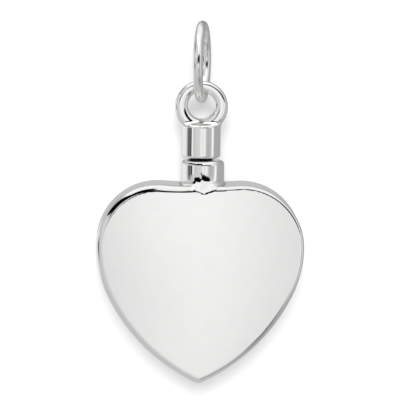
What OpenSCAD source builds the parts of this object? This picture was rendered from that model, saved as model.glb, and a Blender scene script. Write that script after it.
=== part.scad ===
// Keepsake urn pendant: a hollow heart with a collar, a screw cap with a cast loop,
// and a closed jump ring. Millimetres, +Z up, front face towards -Y, +X to its right.
// The origin is the inner top of the jump ring, the point that a chain carries.

/* [Jump ring] */
// Inner diameter of the jump ring
ring_inner_d = 6.1; // [5.6:0.1:8]
// Diameter of the jump ring's wire
ring_wire_d = 0.95; // [0.7:0.05:1.1]
// Turn of the jump ring about the vertical, in degrees
ring_turn = -8; // [-15:1:15]

/* [Loop] */
// Diameter of the hole through the loop
loop_hole_d = 2.6; // [2.4:0.1:3.2]
// Diameter of the loop's round section
loop_wire_d = 1.36; // [1.1:0.02:1.6]
// Depth to which the loop is sunk into the cap
loop_sink = 0.85; // [0.4:0.05:1]
// Depth by which the loop's outside is flattened at its top
loop_flat = 0.26; // [0.1:0.02:0.4]

/* [Screw cap] */
// Outer diameter of the cap
cap_d = 3.8; // [3.4:0.1:4.4]
// Height of the cap
cap_h = 3.25; // [2.5:0.05:4.5]
// Rounding of the cap's two rims
cap_edge_r = 0.25; // [0.1:0.05:0.4]
// Length of the threaded plug under the cap
plug_l = 2.9; // [2:0.1:3.2]
// Distance from one thread crest to the next
thread_pitch = 0.45; // [0.35:0.05:0.6]
// Height of a thread crest above its root
thread_depth = 0.2; // [0.1:0.05:0.3]

/* [Collar] */
// Outer diameter of the collar
collar_d = 4.2; // [3.9:0.1:4.5]
// Height of the collar above the lobes
collar_h = 2.25; // [1.5:0.05:3]
// Rounding of the collar's upper rim
collar_edge_r = 0.45; // [0.2:0.05:0.5]
// Offset of the collar's outside from its bore, towards +X
collar_shift = 0.2; // [0:0.05:0.3]
// Radius of the soldered fillet at the collar's foot
foot_r = 0.5; // [0.2:0.05:0.5]
// Diameter of the bore that takes the plug
bore_d = 2.5; // [2:0.1:2.7]

/* [Heart] */
// Width across the lobes
heart_w = 20.1; // [18:0.1:24]
// Height from the lobes' top to the tip
heart_h = 19.4; // [17.5:0.05:23]
// Thickness between the rims of the two faces
heart_t = 5.6; // [4.4:0.1:6.6]
// Shoulder radius of each lobe, seen from the front
shoulder_r = 6; // [5:0.1:6.5]
// Radius of the flank below each shoulder
flank_r = 10.8; // [9:0.1:12]
// Angle that the flank's arc turns through
flank_turn = 25.5; // [18:0.5:35]
// Depth of the cleft between the lobes
cleft_depth = 0.15; // [0.1:0.05:0.8]
// Rounding along the rim of each face
edge_r = 0.65; // [0.4:0.05:0.9]
// Swell of each face at its middle
dome_h = 0.15; // [0.05:0.05:0.4]
// Thickness of the heart's shell
wall = 0.7; // [0.5:0.05:0.9]
// Chamfer along the chamber's rims
chamber_chamfer = 0.25; // [0.1:0.05:0.4]

/* [Clearances] */
// Gap between the jump ring and the loop above it
ring_gap = 0.15; // [0.1:0.05:0.3]
// Gap between the cap and the collar
cap_gap = 0.22; // [0.1:0.02:0.4]
// Gap all round the plug in its bore
plug_gap = 0.08; // [0.05:0.01:0.1]

/* [Hidden] */
$fn = 64;

// Heights of the hanging stack, from the top down
ring_mid_r = (ring_inner_d + ring_wire_d) / 2;
loop_mid_r = (loop_hole_d + loop_wire_d) / 2;
loop_z = -ring_inner_d + ring_gap - loop_hole_d / 2;
cap_top_z = loop_z - loop_hole_d / 2 - loop_wire_d + loop_sink;
cap_low_z = cap_top_z - cap_h;
collar_top_z = cap_low_z - cap_gap;
heart_top_z = collar_top_z - collar_h;
cleft_z = heart_top_z - cleft_depth;

// Threaded plug, whose crests clear the bore
crest_r = bore_d / 2 - plug_gap;
root_r = crest_r - thread_depth;
thread_lead = thread_pitch / 2;
thread_turns = floor((plug_l - 2 * thread_lead) / thread_pitch);

// Centres of the heart's arcs, from the lobes' top and the middle line: [x, z]
lobe_c = [heart_w / 2 - shoulder_r, -shoulder_r];
flank_c = [heart_w / 2 - flank_r, -shoulder_r];
cleft_fall = shoulder_r - cleft_depth;
cleft_r = (pow(lobe_c[0], 2) + pow(cleft_fall, 2) - pow(shoulder_r, 2)) / (2 * cleft_depth);
cleft_c = [0, cleft_r - cleft_depth];
cleft_end = atan2(lobe_c[1] - cleft_c[1], lobe_c[0]);

// The lower arc leaves the flank smoothly and ends at the tip
flank_end = flank_c + flank_r * [cos(flank_turn), -sin(flank_turn)];
tip_turn = 2 * atan2(flank_end[0], heart_h + flank_end[1]) - flank_turn;
lower_r = flank_end[0] / (cos(flank_turn) - cos(tip_turn));
lower_c = flank_end - lower_r * [cos(flank_turn), -sin(flank_turn)];

// Facets along each arc, round a rim and across a face
CLEFT_STEPS = 4;
SHOULDER_STEPS = 12;
FLANK_STEPS = 5;
LOWER_STEPS = 9;
RIM_STEPS = 4;
DOME_SCALES = [0.35, 0.7];

// The point from which each face swells, a share of the heart's height down
face_c = [0, -0.42 * heart_h];

// Points on an arc [x, z], from one angle towards another, without the last
function arc(c, r, from, to, steps) =
    [for (i = [0:steps - 1]) let (a = from + (to - from) * i / steps) c + r * [cos(a), sin(a)]];

// Right half of the heart's outline moved inwards by d, from the cleft to the tip
function half_outline(d) =
    let (tip_angle = -acos(-lower_c[0] / (lower_r - d)))
    concat(
        arc(cleft_c, cleft_r + d, -90, cleft_end, CLEFT_STEPS),
        arc(lobe_c, shoulder_r - d, cleft_end + 180, 0, SHOULDER_STEPS),
        arc(flank_c, flank_r - d, 0, -flank_turn, FLANK_STEPS),
        arc(lower_c, lower_r - d, -flank_turn, tip_angle, LOWER_STEPS),
        [lower_c + (lower_r - d) * [cos(tip_angle), sin(tip_angle)]]
    );

// Whole outline: the right half, then the left half back up to the cleft
function outline(d) =
    let (right = half_outline(d), last = len(right) - 1)
    concat(right, [for (i = [last - 1:-1:1]) [-right[i][0], right[i][1]]]);

// One ring of the heart at depth y, its outline shrunk towards the face's middle
function ring(d, y, share = 1) =
    [for (p = outline(d)) let (q = face_c + share * (p - face_c)) [q[0], y, q[1]]];

// Swell of a face at a share of the way out to its rim
function swell(share) = dome_h * (1 - share * share);

// Faces of a closed body whose rings run from the front pole to the back pole
function ring_faces(rings, n) = concat(
    [for (i = [0:n - 1]) [0, 1 + i, 1 + (i + 1) % n]],
    [for (k = [0:rings - 2], i = [0:n - 1])
        let (a = 1 + k * n + i, b = 1 + k * n + (i + 1) % n) each [[a, a + n, b + n], [a, b + n, b]]],
    [for (i = [0:n - 1])
        let (first = 1 + (rings - 1) * n) [rings * n + 1, first + (i + 1) % n, first + i]]
);

// Closed heart from a list of [inset, half thickness, share] that starts at the face's middle
module heart_body(profile, half_t) {
    front = [for (s = profile) ring(s[0], -s[1], s[2])];
    back = [for (i = [len(profile) - 1:-1:0]) ring(profile[i][0], profile[i][1], profile[i][2])];
    rings = concat(front, back);
    pole = half_t + swell(0);
    points = concat(
        [[face_c[0], -pole, face_c[1]]],
        [for (r = rings) each r],
        [[face_c[0], pole, face_c[1]]]
    );
    polyhedron(points, ring_faces(len(rings), len(rings[0])));
}

// Outside of the heart, with rounded rims and gently swelling faces
module heart_outside() {
    half_t = heart_t / 2;
    face = [for (s = DOME_SCALES) [edge_r, half_t + swell(s), s]];
    rim = [for (i = [0:RIM_STEPS]) let (a = 90 * i / RIM_STEPS)
        [edge_r * (1 - sin(a)), half_t - edge_r * (1 - cos(a)), 1]];
    heart_body(concat(face, rim), half_t);
}

// Chamber for the keepsake, one wall inside the heart
module chamber() {
    half_t = heart_t / 2 - wall;
    face = [for (s = DOME_SCALES) [wall + chamber_chamfer, half_t + swell(s), s]];
    rim = [[wall + chamber_chamfer, half_t, 1], [wall, half_t - chamber_chamfer, 1]];
    heart_body(concat(face, rim), half_t);
}

// Solid of revolution about Z with a rounded upper rim, and a rounded lower one if asked
module rounded_post(r, h, edge, both = true) {
    rotate_extrude() {
        translate([0, both ? edge : 0]) square([r, h - edge * (both ? 2 : 1)]);
        square([r - edge, h]);
        translate([r - edge, h - edge]) circle(edge);
        if (both) translate([r - edge, edge]) circle(edge);
    }
}

// Closed ring of round wire about the Z axis
module wire_ring(mid_r, wire_d) {
    rotate_extrude() translate([mid_r, 0]) circle(wire_d / 2);
}

// Concave fillet of solder at the collar's foot, kept between the heart's rounded rims
module collar_foot() {
    foot_out_r = collar_d / 2 + foot_r;
    foot_depth = heart_t - edge_r;
    intersection() {
        rotate_extrude() difference() {
            translate([0, -edge_r]) square([foot_out_r, edge_r + foot_r]);
            translate([foot_out_r, foot_r]) circle(foot_r);
        }
        translate([-foot_out_r, -foot_depth / 2, -edge_r])
            cube([2 * foot_out_r, foot_depth, edge_r + foot_r]);
    }
}

// Plug with a thread of ring-shaped crests, hanging down from z = 0
module threaded_plug() {
    overlap = cap_edge_r;
    thread = [for (i = [0:thread_turns - 1]) each [
        [root_r, -thread_lead - i * thread_pitch],
        [crest_r, -thread_lead - (i + 0.5) * thread_pitch]
    ]];
    thread_end = -thread_lead - thread_turns * thread_pitch;
    rotate_extrude() polygon(concat(
        [[0, overlap], [root_r, overlap]], thread, [[root_r, thread_end], [root_r, -plug_l], [0, -plug_l]]
    ));
}

// Cast loop in the plane of the heart's faces, its outside flattened towards the top
module cast_loop() {
    loop_out_r = loop_hole_d / 2 + loop_wire_d;
    rotate([90, 0, 0]) intersection() {
        wire_ring(loop_mid_r, loop_wire_d);
        translate([0, -loop_flat, -loop_wire_d]) cylinder(r = loop_out_r, h = 2 * loop_wire_d);
    }
}

module jump_ring() {
    color([0.86, 0.87, 0.88])
        translate([0, 0, -ring_inner_d / 2]) rotate([0, 0, ring_turn]) rotate([0, 90, 0])
            wire_ring(ring_mid_r, ring_wire_d);
}

module screw_cap() {
    color([0.8, 0.81, 0.83]) {
        translate([0, 0, loop_z]) cast_loop();
        translate([0, 0, cap_low_z]) rounded_post(cap_d / 2, cap_h, cap_edge_r);
        translate([0, 0, cap_low_z]) threaded_plug();
    }
}

module heart_vessel() {
    collar_low = cleft_z - edge_r;
    bore_low = cleft_z - 2 * wall;
    color([0.83, 0.84, 0.86]) difference() {
        union() {
            translate([0, 0, heart_top_z]) heart_outside();
            translate([collar_shift, 0, collar_low])
                rounded_post(collar_d / 2, collar_top_z - collar_low, collar_edge_r, both = false);
            translate([collar_shift, 0, cleft_z]) collar_foot();
        }
        translate([0, 0, heart_top_z]) chamber();
        translate([0, 0, bore_low]) cylinder(d = bore_d, h = collar_top_z - bore_low + 1);
    }
}

jump_ring();
screw_cap();
heart_vessel();
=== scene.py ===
import math

import bpy
import numpy as np
from mathutils import Matrix, Vector


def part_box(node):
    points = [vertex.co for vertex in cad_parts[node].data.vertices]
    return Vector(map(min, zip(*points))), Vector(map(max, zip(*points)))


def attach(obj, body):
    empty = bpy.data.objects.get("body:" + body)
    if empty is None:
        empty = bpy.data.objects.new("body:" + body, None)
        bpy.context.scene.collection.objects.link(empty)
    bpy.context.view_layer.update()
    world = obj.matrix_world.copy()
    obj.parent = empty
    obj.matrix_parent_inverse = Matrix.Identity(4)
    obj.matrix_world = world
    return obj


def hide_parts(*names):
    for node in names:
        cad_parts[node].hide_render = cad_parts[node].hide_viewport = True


# The looks of a keepsake urn pendant: a hollow heart with a soldered collar, a screw cap with a
# cast loop, and the jump ring that it hangs from. Shapes are worked out in millimetres as
# distance fields, negative inside, and are written as meshes in metres. Each mesh starts from
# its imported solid.

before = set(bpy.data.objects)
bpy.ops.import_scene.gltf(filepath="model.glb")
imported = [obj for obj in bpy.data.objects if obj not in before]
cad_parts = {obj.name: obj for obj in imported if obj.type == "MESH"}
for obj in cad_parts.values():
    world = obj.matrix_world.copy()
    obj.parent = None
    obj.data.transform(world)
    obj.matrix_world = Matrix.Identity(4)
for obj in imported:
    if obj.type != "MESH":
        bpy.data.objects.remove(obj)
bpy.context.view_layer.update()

MM = 0.001

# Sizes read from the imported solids
heart_low, heart_high = (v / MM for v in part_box("heart_vessel"))
cap_low, cap_high = (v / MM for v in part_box("screw_cap"))
ring_low, ring_high = (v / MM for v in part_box("jump_ring"))
heart_w = heart_high.x - heart_low.x
heart_tip_z = heart_low.z
collar_top_z = heart_high.z

# Heart
heart_h = 19.4
heart_top_z = heart_tip_z + heart_h
shoulder_r = 6.0
flank_r = 10.8
flank_turn = math.radians(25.5)
cleft_depth = 0.15
wall = 0.7
tip_blend = 0.2

# The faces swell by dome_h in the middle, which lies this share of the height below the top
dome_h = 0.15
dome_share = 0.42
half_t = (heart_high.y - heart_low.y) / 2 - dome_h
face_centre_z = heart_top_z - dome_share * heart_h

# The rim's rounding turns from right to left over edge_turn_x, and low down to edge_low_r
# over edge_turn_z. Under the collar it is edge_dip_r.
edge_left_r = 0.64
edge_right_r = 0.34
edge_low_r = 0.5
edge_dip_r = 0.22
edge_turn_x = (5.0, -4.0)
edge_turn_z = (-22.0, -28.0)
edge_pinch_w = 1.1

# What belongs to the top alone begins this far below it, and is whole this far below it
top_start = 3
top_whole = 1

# A dip in the front edge under the collar
dip_x = 0.35
dip_half_w = 0.75
dip_depth = 0.46
dip_from_y = 2.1
dip_full_y = 2.7

# Collar
collar_r = 2.1
collar_shift = 0.2
collar_edge_r = 0.45
collar_foot_blend = 0.3
bore_r = 1.25
bore_thread_depth = 0.12
bore_reach = 2
bore_blend = 0.2
mouth_blend = 0.08

# Solder on the collar's front and back. Below a crease it spreads outwards at solder_slope, by
# solder_limit at most. The crease lies at the lobes' top at solder_x and rises beside it.
facing_power = 12
solder_x = 0.6
solder_lift_left = 0.9
solder_lift_right = 0.72
solder_lift_w = 0.9
solder_slope = 0.8
solder_bend = 0.25
solder_bend_w = 0.8
solder_bend_sides = 0.08
solder_limit = 0.9
solder_blend = 0.55
solder_depth = 0.3
solder_fall_limit = 40

# Cap, loop and plug
loop_hole_r = 1.3
loop_wire_r = 0.68
loop_out_r = loop_hole_r + 2 * loop_wire_r
loop_flat = 0.26
loop_flat_blend = 0.35
loop_blend = 0.35
loop_power = 2.8
loop_z = cap_high.z + loop_flat - loop_out_r
cap_r = 1.9
cap_h = 3.25
seam_h = 0.22
cap_low_z = collar_top_z + seam_h
cap_edge_r = 0.25
plug_low_z = cap_low.z
crest_r = 1.17
thread_pitch = 0.45
thread_depth = 0.2
plug_end_blend = 0.15
plug_blend = 0.05

# Jump ring
ring_wire_r = 0.475
ring_mid_r = (ring_high.z - ring_low.z) / 2 - ring_wire_r
ring_centre_z = (ring_high.z + ring_low.z) / 2
ring_turn = math.radians(-8)

# Painted shade round the plug's neck, which darkens the seam under the cap: full inside the first
# radius and down to the first depth, gone at the fade values and at the lip above the cap's lower
# edge
seam_shade_r = 1.35
seam_shade_fade_r = 1.5
seam_shade_depth = 0.4
seam_shade_fade_depth = 0.55
seam_shade_lip = 0.05
seam_shade_tone = 0.08
seam_shade_roughness = 0.4

# How a mesh is laid on its distance field: millimetres in one pass, and a floor for a divisor
furthest_move = 0.1
least_slope_squared = 0.25


def smooth_min(a, b, k):
    """The lesser of two distances, blended over k."""
    h = np.maximum(k - np.abs(a - b), 0) / k
    return np.minimum(a, b) - h * h * k / 4


def smooth_max(a, b, k):
    """The greater of two distances, blended over k."""
    return -smooth_min(-a, -b, k)


def rounded_edge(a, b, r):
    """Distance to where two slabs overlap, with their shared edge rounded to r."""
    qa, qb = a + r, b + r
    return np.hypot(np.maximum(qa, 0), np.maximum(qb, 0)) + np.minimum(np.maximum(qa, qb), 0) - r


def side_of(x, z, start, direction):
    """Positive where (x, z) lies anticlockwise of a ray from start."""
    return direction[0] * (z - start[1]) - direction[1] * (x - start[0])


def heart_arcs():
    """The outline's arcs, z from the lobes' top: centres [x, z], radii that no value gives
    yet, and the direction in which flank and lower arc meet."""
    lobe = np.array([heart_w / 2 - shoulder_r, -shoulder_r])
    flank = np.array([heart_w / 2 - flank_r, -shoulder_r])
    fall = shoulder_r - cleft_depth
    cleft_r = (lobe[0] ** 2 + fall**2 - shoulder_r**2) / (2 * cleft_depth)
    cleft = np.array([0, cleft_r - cleft_depth])
    down = np.array([math.cos(flank_turn), -math.sin(flank_turn)])
    end = flank + flank_r * down
    tip_turn = 2 * math.atan2(end[0], heart_h + end[1]) - flank_turn
    lower_r = end[0] / (math.cos(flank_turn) - math.cos(tip_turn))
    return lobe, flank, cleft, cleft_r, end - lower_r * down, lower_r, down


LOBE, FLANK, CLEFT, CLEFT_R, LOWER, LOWER_R, FLANK_DOWN = heart_arcs()


def outline_distance(x, z):
    """Distance to the heart's outline in the plane of its faces, negative inside."""
    ax = np.abs(x)
    z = z - heart_top_z
    cleft = CLEFT_R - np.hypot(ax - CLEFT[0], z - CLEFT[1])
    shoulder = np.hypot(ax - LOBE[0], z - LOBE[1]) - shoulder_r
    flank = np.hypot(ax - FLANK[0], z - FLANK[1]) - flank_r
    near = np.hypot(ax - LOWER[0], z - LOWER[1]) - LOWER_R
    far = np.hypot(-ax - LOWER[0], z - LOWER[1]) - LOWER_R
    lower = smooth_max(near, far, tip_blend)
    to_cleft = CLEFT - LOBE
    in_cleft = side_of(ax, z, LOBE, to_cleft) > 0
    in_flank = side_of(ax, z, FLANK, FLANK_DOWN) > 0
    above = z > LOBE[1]
    return np.where(above, np.where(in_cleft, cleft, shoulder), np.where(in_flank, flank, lower))


def smooth_step(v, start, end):
    """0 at start, 1 at end, with a soft start and stop."""
    t = np.clip((v - start) / (end - start), 0, 1)
    return t * t * (3 - 2 * t)


def near_top(z):
    """1 at the lobes' top, 0 well below it."""
    return smooth_step(z, heart_top_z - top_start, heart_top_z - top_whole)


def edge_radius(x, z):
    """The rim's rounding: softest on the left, sharpest under the collar."""
    right = edge_right_r + (edge_low_r - edge_right_r) * smooth_step(z, *edge_turn_z)
    r = right + (edge_left_r - right) * smooth_step(x, *edge_turn_x)
    pinch = np.exp(-(((x - dip_x) / edge_pinch_w) ** 2)) * near_top(z)
    return r + (edge_dip_r - r) * pinch


def face_half(x, z):
    """Half the thickness between the gently swelling faces."""
    r2 = (x**2 + (z - face_centre_z) ** 2) / (heart_w / 2) ** 2
    return half_t + dome_h * (1 - r2)


def thread_wave(x, y, z):
    """A helix round the z axis: 0 along its crest, 1 along its groove."""
    turn = np.arctan2(y, x) / (2 * math.pi)
    return np.abs(((z / thread_pitch - turn) % 1) - 0.5) * 2


def heart_vessel_distance(p):
    """The hollow heart, its soldered collar and the bore into its chamber."""
    x, y, z = p
    plan = outline_distance(x, z)
    half = face_half(x, z)
    front = smooth_step(-y, dip_from_y, dip_full_y) * near_top(z)
    dip = dip_depth * np.exp(-(((x - dip_x) / dip_half_w) ** 2)) * front
    body = rounded_edge(plan + dip, np.abs(y) - half, edge_radius(x, z))
    across = np.hypot(x - collar_shift, y)
    facing = np.clip(np.abs(y) / np.maximum(across, 1e-6), 0, 1) ** facing_power
    beside = x - solder_x
    lift = np.where(beside < 0, solder_lift_left, solder_lift_right)
    crease = heart_top_z + lift * (1 - np.exp(-((beside / solder_lift_w) ** 2)))
    bend = solder_bend_sides + solder_bend * np.exp(-((beside / solder_bend_w) ** 4))
    fall = np.clip((crease - z) / bend, -solder_fall_limit, solder_fall_limit)
    solder = solder_slope * bend * np.log1p(np.exp(fall))
    kept = np.tanh(solder / solder_limit)
    slant = facing * solder_slope / (1 + np.exp(-fall)) * (1 - kept * kept)
    across = (across - collar_r - facing * solder_limit * kept) / np.hypot(1, slant)
    collar = rounded_edge(across, z - collar_top_z, collar_edge_r)
    collar = smooth_max(collar, heart_top_z - solder_depth - z, collar_foot_blend)
    outside = smooth_min(body, collar, solder_blend)
    bore = np.hypot(x, y) - bore_r - bore_thread_depth * thread_wave(x, y, z)
    chamber = np.maximum(plan + wall, np.abs(y) - half + wall)
    inside = smooth_min(np.maximum(bore, heart_top_z - bore_reach - z), chamber, bore_blend)
    return smooth_max(outside, -inside, mouth_blend)


def screw_cap_distance(p):
    """The cap with its cast loop above and its threaded plug below."""
    x, y, z = p
    across = np.hypot(x, y)
    mid = cap_low_z + cap_h / 2
    skirt = rounded_edge(across - cap_r, np.abs(z - mid) - cap_h / 2, cap_edge_r)
    mid_r = loop_hole_r + loop_wire_r
    beside = np.abs(np.hypot(x, z - loop_z) - mid_r)
    loop = (beside**loop_power + np.abs(y) ** loop_power) ** (1 / loop_power) - loop_wire_r
    flattened = np.hypot(x, z - loop_z + loop_flat) - loop_out_r
    loop = smooth_max(loop, flattened, loop_flat_blend)
    plug = across - crest_r + thread_depth * thread_wave(x, y, z)
    plug = smooth_max(plug, plug_low_z - z, plug_end_blend)
    plug = np.maximum(plug, z - mid)
    return smooth_min(smooth_min(skirt, loop, loop_blend), plug, plug_blend)


def jump_ring_distance(p):
    """The closed ring of round wire, turned a little about the vertical."""
    x, y, z = p
    across = x * math.cos(ring_turn) + y * math.sin(ring_turn)
    along = -x * math.sin(ring_turn) + y * math.cos(ring_turn)
    return np.hypot(np.hypot(along, z - ring_centre_z) - ring_mid_r, across) - ring_wire_r


def slopes(distance, points, step=1e-3):
    """Gradient of a distance field at points, by central differences."""
    out = np.empty_like(points)
    for axis in range(3):
        shift = np.zeros(3)
        shift[axis] = step
        out[:, axis] = (distance((points + shift).T) - distance((points - shift).T)) / (2 * step)
    return out


def settle(distance, points, passes):
    """Moves points onto the surface where the field is zero."""
    for _ in range(passes):
        g = slopes(distance, points)
        far = distance(points.T) / np.maximum((g * g).sum(1), least_slope_squared)
        points = points - g * np.clip(far, -furthest_move, furthest_move)[:, None]
    return points


def relax(points, edges, share):
    """Eases each point towards the middle of its neighbours."""
    total = np.zeros_like(points)
    count = np.zeros(len(points))
    for a, b in ((0, 1), (1, 0)):
        np.add.at(total, edges[:, a], points[edges[:, b]])
        np.add.at(count, edges[:, a], 1)
    return points + share * (total / count[:, None] - points)


def remeshed(node, voxel):
    """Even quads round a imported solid, in millimetres."""
    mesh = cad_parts[node].data.copy()
    mesh.transform(Matrix.Scale(1 / MM, 4))
    obj = bpy.data.objects.new(node + "_rough", mesh)
    bpy.context.scene.collection.objects.link(obj)
    mod = obj.modifiers.new("Even quads", "REMESH")
    mod.mode = "VOXEL"
    mod.voxel_size = voxel
    depsgraph = bpy.context.evaluated_depsgraph_get()
    out = bpy.data.meshes.new_from_object(obj.evaluated_get(depsgraph))
    bpy.data.objects.remove(obj)
    bpy.data.meshes.remove(mesh)
    return out


def modelled(name, node, body, distance, voxel, material):
    """A piece whose surface is the distance field's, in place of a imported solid.

    voxel is the size of its first quads, in millimetres.
    """
    mesh = remeshed(node, voxel)
    mesh.name = name
    points = np.empty(len(mesh.vertices) * 3)
    mesh.vertices.foreach_get("co", points)
    points = points.reshape(-1, 3)
    edges = np.empty(len(mesh.edges) * 2, int)
    mesh.edges.foreach_get("vertices", edges)
    edges = edges.reshape(-1, 2)
    points = settle(distance, points, passes=3)
    for _ in range(3):
        points = settle(distance, relax(points, edges, share=0.5), passes=2)
    points = settle(distance, points, passes=3)
    normals = slopes(distance, points)
    normals /= np.linalg.norm(normals, axis=1)[:, None]
    mesh.vertices.foreach_set("co", (points * MM).ravel())
    mesh.polygons.foreach_set("use_smooth", np.ones(len(mesh.polygons), bool))
    mesh.update()
    mesh.normals_split_custom_set_from_vertices(normals)
    mesh.materials.clear()
    mesh.materials.append(material)
    piece = bpy.data.objects.new(name, mesh)
    bpy.context.scene.collection.objects.link(piece)
    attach(piece, body)
    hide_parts(node)
    return piece


class Nodes:
    """Short names for making the nodes of one material or world."""

    def __init__(self, tree):
        self.tree = tree
        tree.nodes.clear()

    def add(self, kind, inputs=(), **settings):
        """A new node, its inputs linked to sockets or set to plain values."""
        node = self.tree.nodes.new(kind)
        for key, value in settings.items():
            setattr(node, key, value)
        for key, value in dict(inputs).items():
            if isinstance(value, bpy.types.NodeSocket):
                self.tree.links.new(value, node.inputs[key])
            else:
                node.inputs[key].default_value = value
        return node

    def math(self, operation, a, b=0.0):
        return self.add("ShaderNodeMath", {0: a, 1: b}, operation=operation).outputs[0]

    def dot(self, a, b):
        return self.add(
            "ShaderNodeVectorMath", {0: a, 1: b}, operation="DOT_PRODUCT"
        ).outputs["Value"]

    def ramp(self, value, low, high, to_low=0.0, to_high=1.0):
        """From to_low where value is low, softly to to_high where it is high."""
        ends = {"From Min": low, "From Max": high, "To Min": to_low, "To Max": to_high}
        return self.add(
            "ShaderNodeMapRange", {"Value": value, **ends}, interpolation_type="SMOOTHSTEP"
        ).outputs["Result"]

    def mix(self, factor, a, b):
        """a and b blended as plain numbers."""
        return self.add("ShaderNodeMix", {0: factor, 2: a, 3: b}, data_type="FLOAT").outputs[0]


# The dullest tone against the brightest, the roughest mark against the smoothest, and blue
# against red and green
DULLEST = 0.985
ROUGHEST = 1.8
BLUE_SHARE = 0.992


def silver(name, tone, roughness, scratch, neck_top=None):
    """Polished sterling silver with faint polishing marks and an uneven sheen.

    Just below neck_top, given in metres, it is darkened near the z axis with painted shade for the
    seam.
    """
    material = bpy.data.materials.new(name)
    material.use_nodes = True
    n = Nodes(material.node_tree)
    place = n.add("ShaderNodeTexCoord").outputs["Object"]
    blotch = n.add(
        "ShaderNodeTexNoise", {"Vector": place, "Scale": 900.0, "Detail": 4.0, "Roughness": 0.6}
    ).outputs[0]
    stretched = n.add(
        "ShaderNodeMapping", {"Vector": place, "Rotation": (0.3, 0.5, 0.4), "Scale": (1, 1, 12)}
    ).outputs[0]
    marks = n.add(
        "ShaderNodeTexNoise",
        {"Vector": stretched, "Scale": 2500.0, "Detail": 3.0, "Roughness": 0.7},
    ).outputs[0]
    shade = n.ramp(blotch, 0.3, 0.7, to_low=tone * DULLEST, to_high=tone)
    rough = n.ramp(marks, 0.35, 0.75, to_low=roughness, to_high=roughness * ROUGHEST)
    bump = n.add(
        "ShaderNodeBump", {"Strength": scratch, "Distance": 0.00002, "Height": marks}
    ).outputs[0]
    if neck_top is not None:
        spot = n.add("ShaderNodeSeparateXYZ", {0: place})
        out = n.add("ShaderNodeCombineXYZ", {0: spot.outputs[0], 1: spot.outputs[1]}).outputs[0]
        out = n.add("ShaderNodeVectorMath", {0: out}, operation="LENGTH").outputs["Value"]
        height = spot.outputs[2]
        # Painted shade: the plug is darkened just under the cap so that the seam between cap and
        # collar shows black
        fade_end = neck_top - seam_shade_fade_depth * MM
        inner = n.ramp(out, seam_shade_fade_r * MM, seam_shade_r * MM)
        below = n.ramp(height, neck_top + seam_shade_lip * MM, neck_top)
        above = n.ramp(height, fade_end, neck_top - seam_shade_depth * MM)
        seam_shade = n.math("MULTIPLY", inner, n.math("MULTIPLY", below, above))
        shade = n.mix(seam_shade, shade, seam_shade_tone)
        rough = n.mix(seam_shade, rough, seam_shade_roughness)
    blue = n.math("MULTIPLY", shade, BLUE_SHARE)
    colour = n.add("ShaderNodeCombineColor", {0: shade, 1: shade, 2: blue})
    shader = n.add(
        "ShaderNodeBsdfPrincipled",
        {"Base Color": colour.outputs[0], "Metallic": 1.0, "Roughness": rough, "Normal": bump},
    )
    n.add("ShaderNodeOutputMaterial", {"Surface": shader.outputs[0]})
    return material


polished = silver("polished_silver", tone=0.94, roughness=0.05, scratch=0.02)
cap_silver = silver(
    "cap_silver", tone=0.94, roughness=0.05, scratch=0.02, neck_top=cap_low_z * MM
)
drawn = silver("silver_wire", tone=0.9, roughness=0.12, scratch=0.05)

modelled(
    "HeartVessel", "heart_vessel", "heart",
    heart_vessel_distance, voxel=0.15, material=polished,
)
cap = modelled(
    "ScrewCap", "screw_cap", "cap",
    screw_cap_distance, voxel=0.07, material=cap_silver,
)
ring = modelled(
    "JumpRing", "jump_ring", "ring",
    jump_ring_distance, voxel=0.08, material=drawn,
)


# The light: a grey tent round the pendant, nearly white overhead, with cards in it. The camera
# itself sees white there. Greys are 0 to 255 as they show in the picture. The top begins at
# the first of two heights on a sky of radius 1, and is full at the second.
BACKGROUND = 1.0
TENT_SIDES = 198
TENT_TOP = 254
TENT_TOP_HEIGHTS = (0.60, 0.85)
# How square the cards' corners are: 2 would make them ellipses
CARD_POWER = 3
# Each card: azimuth (0 in front, positive to the right), elevation, half width, half height,
# roll and softness in degrees, then its grey. Each one covers those before it.
CARDS = (
    (150, 10, 32, 40, 0, 12, 170),
    (-165, 8, 25, 30, 0, 8, 196),
    (-150, 40, 30, 18, 0, 12, 185),
    (-125, -6, 34, 16, 0, 8, 238),
    (-95, 66, 60, 14, 0, 6, 252),
    (45, -44, 25, 12, 0, 6, 150),
    (108, -8, 26, 40, 0, 6, 172),
    (25, 22, 42, 38, -12, 12, 244),
    (44, -12, 20, 18, 0, 12, 182),
    (72, -8, 6.5, 16, 0, 2, 250),
    (3, -6, 22, 12, 0, 5, 248),
    (-38, -12, 19, 15, 0, 3, 205),
    (2, -27, 20, 10, 0, 8, 222),
    (-10, -7, 8, 9, 0, 5, 220),
    (2.5, -3, 4.5, 4, 0, 3.5, 252),
    (20, -22, 12, 4, -35, 3, 80),
    (-76, -6.5, 12, 6, 0, 5, 90),
    (-62, -6.5, 3.4, 4, 0, 1, 15),
    (-53, -6.5, 3.5, 5, 0, 1, 250),
    (9, -6, 4, 9, 0, 4, 226),
    (175, 24, 34, 9, 0, 5, 150),
    (-22, 31, 15, 26, 0, 1, 4),
    (-56, 36, 34, 14, -12, 1, 4),
    (-15, 14.5, 15.5, 17, 0, 1, 4),
    (20, 10.5, 26, 10.5, 0, 1, 4),
    (-40, 7, 30, 7, -25, 1, 214),
    (-15.5, 9.5, 8, 8, 0, 2, 214),
)


def linear(grey):
    """Linear light for a grey of 0 to 255 in the picture."""
    v = grey / 255
    return v / 12.92 if v <= 0.04045 else ((v + 0.055) / 1.055) ** 2.4


def direction(azimuth, elevation):
    """The unit vector towards a place on the sky, 0, 0 being straight in front."""
    a, e = math.radians(azimuth), math.radians(elevation)
    return Vector((math.sin(a) * math.cos(e), -math.cos(a) * math.cos(e), math.sin(e)))


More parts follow.
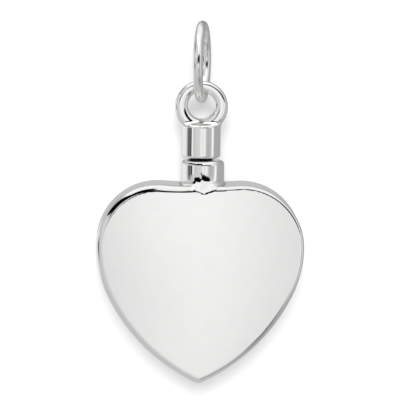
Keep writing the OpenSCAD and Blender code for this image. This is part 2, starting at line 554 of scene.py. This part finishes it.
def card_mask(n, ray, card):
    """1 inside a card with round corners on the sky, 0 outside it."""
    azimuth, elevation, half_w, half_h, roll, soft, _ = card
    out = direction(azimuth, elevation)
    turn = math.radians(roll)
    flat = direction(azimuth + 90, 0)
    upright = direction(azimuth, elevation + 90)
    u = flat * math.cos(turn) + upright * math.sin(turn)
    v = upright * math.cos(turn) - flat * math.sin(turn)
    along = n.math("ARCTAN2", n.dot(ray, u), n.dot(ray, out))
    across = n.math("ARCSINE", n.dot(ray, v))
    a = n.math("DIVIDE", n.math("ABSOLUTE", along), math.radians(half_w))
    b = n.math("DIVIDE", n.math("ABSOLUTE", across), math.radians(half_h))
    powers = n.math("ADD", n.math("POWER", a, CARD_POWER), n.math("POWER", b, CARD_POWER))
    r = n.math("POWER", powers, 1 / CARD_POWER)
    edge = soft / min(half_w, half_h)
    return n.ramp(r, 1 + edge, 1 - edge)


def tent():
    """The world that lights the pendant and is mirrored in it."""
    world = bpy.data.worlds.new("Light tent")
    bpy.context.scene.world = world
    world.use_nodes = True
    n = Nodes(world.node_tree)
    ray = n.add("ShaderNodeTexCoord").outputs["Generated"]
    height = n.add("ShaderNodeSeparateXYZ", {0: ray}).outputs["Z"]
    level = n.ramp(height, *TENT_TOP_HEIGHTS, linear(TENT_SIDES), linear(TENT_TOP))
    for card in CARDS:
        level = n.mix(card_mask(n, ray, card), level, linear(card[-1]))
    seen = n.add("ShaderNodeLightPath").outputs["Is Camera Ray"]
    level = n.mix(seen, level, BACKGROUND)
    background = n.add("ShaderNodeBackground", {"Color": (1, 1, 1, 1), "Strength": level})
    n.add("ShaderNodeOutputWorld", {"Surface": background.outputs[0]})


def backdrop():
    """A white sweep close behind, which curves into a floor; seen from its front alone."""
    behind, floor_z, bend = 7.2, -75.0, 30.0
    width, top, reach = 400.0, 200.0, 300.0
    steps = 12
    arc = [math.pi / 2 * i / steps for i in range(steps + 1)]
    line = [(behind, top)]
    line += [(behind - bend + bend * math.cos(a), floor_z + bend - bend * math.sin(a)) for a in arc]
    line += [(-reach, floor_z)]
    verts = [(s * width / 2 * MM, y * MM, z * MM) for y, z in line for s in (-1, 1)]
    faces = [(2 * i, 2 * i + 2, 2 * i + 3, 2 * i + 1) for i in range(len(line) - 1)]
    mesh = bpy.data.meshes.new("Backdrop")
    mesh.from_pydata(verts, [], faces)
    mesh.polygons.foreach_set("use_smooth", [True] * len(faces))
    material = bpy.data.materials.new("Backdrop paper")
    material.use_nodes = True
    n = Nodes(material.node_tree)
    grain = n.add("ShaderNodeTexNoise", {"Scale": 300.0, "Detail": 3.0}).outputs[0]
    shade = n.ramp(grain, 0.3, 0.7, to_low=0.34, to_high=0.35)
    colour = n.add("ShaderNodeCombineColor", {0: shade, 1: shade, 2: shade}).outputs[0]
    paper = n.add("ShaderNodeBsdfDiffuse", {"Color": colour}).outputs[0]
    glow = n.add("ShaderNodeEmission", {"Strength": 0.42}).outputs[0]
    lit = n.add("ShaderNodeAddShader", {0: paper, 1: glow}).outputs[0]
    clear = n.add("ShaderNodeBsdfTransparent").outputs[0]
    back = n.add("ShaderNodeNewGeometry").outputs["Backfacing"]
    out = n.add("ShaderNodeMixShader", {0: back, 1: lit, 2: clear}).outputs[0]
    n.add("ShaderNodeOutputMaterial", {"Surface": out})
    mesh.materials.append(material)
    obj = bpy.data.objects.new("Backdrop", mesh)
    bpy.context.scene.collection.objects.link(obj)
    obj.visible_glossy = False


# The camera looks down a little, from a little to the left. Angles are in degrees and lengths
# in millimetres; the picture's middle is at AIM, where FRAME_WIDTH fills its width.
CAMERA_AZIMUTH = -1.5
CAMERA_ELEVATION = 6.3
CAMERA_ROLL = 0.8
CAMERA_DISTANCE = 250.0
FRAME_WIDTH = 38.88
AIM = Vector((-0.01, 0.0, -16.48))
SENSOR = 36.0
# In metres
CLIP_NEAR = 0.01
CLIP_FAR = 10


def camera():
    data = bpy.data.cameras.new("Camera")
    data.sensor_width = SENSOR
    data.lens = SENSOR * CAMERA_DISTANCE / FRAME_WIDTH
    data.clip_start = CLIP_NEAR
    data.clip_end = CLIP_FAR
    obj = bpy.data.objects.new("Camera", data)
    bpy.context.scene.collection.objects.link(obj)
    back = direction(CAMERA_AZIMUTH, CAMERA_ELEVATION)
    obj.location = (AIM + back * CAMERA_DISTANCE) * MM
    look = (-back).to_track_quat("-Z", "Y").to_matrix()
    roll = Matrix.Rotation(math.radians(CAMERA_ROLL), 3, "Z")
    obj.rotation_euler = (look @ roll).to_euler()
    bpy.context.scene.camera = obj


def lamp(name, azimuth, elevation, width, energy):
    """A round, soft lamp far away, width degrees across."""
    data = bpy.data.lights.new(name, "SUN")
    data.energy = energy
    data.angle = math.radians(width)
    obj = bpy.data.objects.new(name, data)
    bpy.context.scene.collection.objects.link(obj)
    obj.rotation_euler = direction(azimuth, elevation).to_track_quat("Z", "Y").to_euler()
    return obj


def paper_lamp():
    """Above the camera, for the paper alone: the silver doesn't mirror it."""
    obj = lamp("Paper lamp", azimuth=-2, elevation=16.5, width=16, energy=4.9)
    obj.visible_glossy = False


def upper_lamp(pieces):
    """A wide soft lamp up in front and to the left, which these pieces alone mirror."""
    lit = bpy.data.collections.new("Lit by the upper lamp")
    for piece in pieces:
        lit.objects.link(piece)
    obj = lamp("Upper lamp", azimuth=-32, elevation=48, width=72, energy=0.75)
    obj.light_linking.receiver_collection = lit


tent()
backdrop()
paper_lamp()
upper_lamp((cap, ring))
camera()
bpy.context.scene.view_settings.view_transform = "Standard"
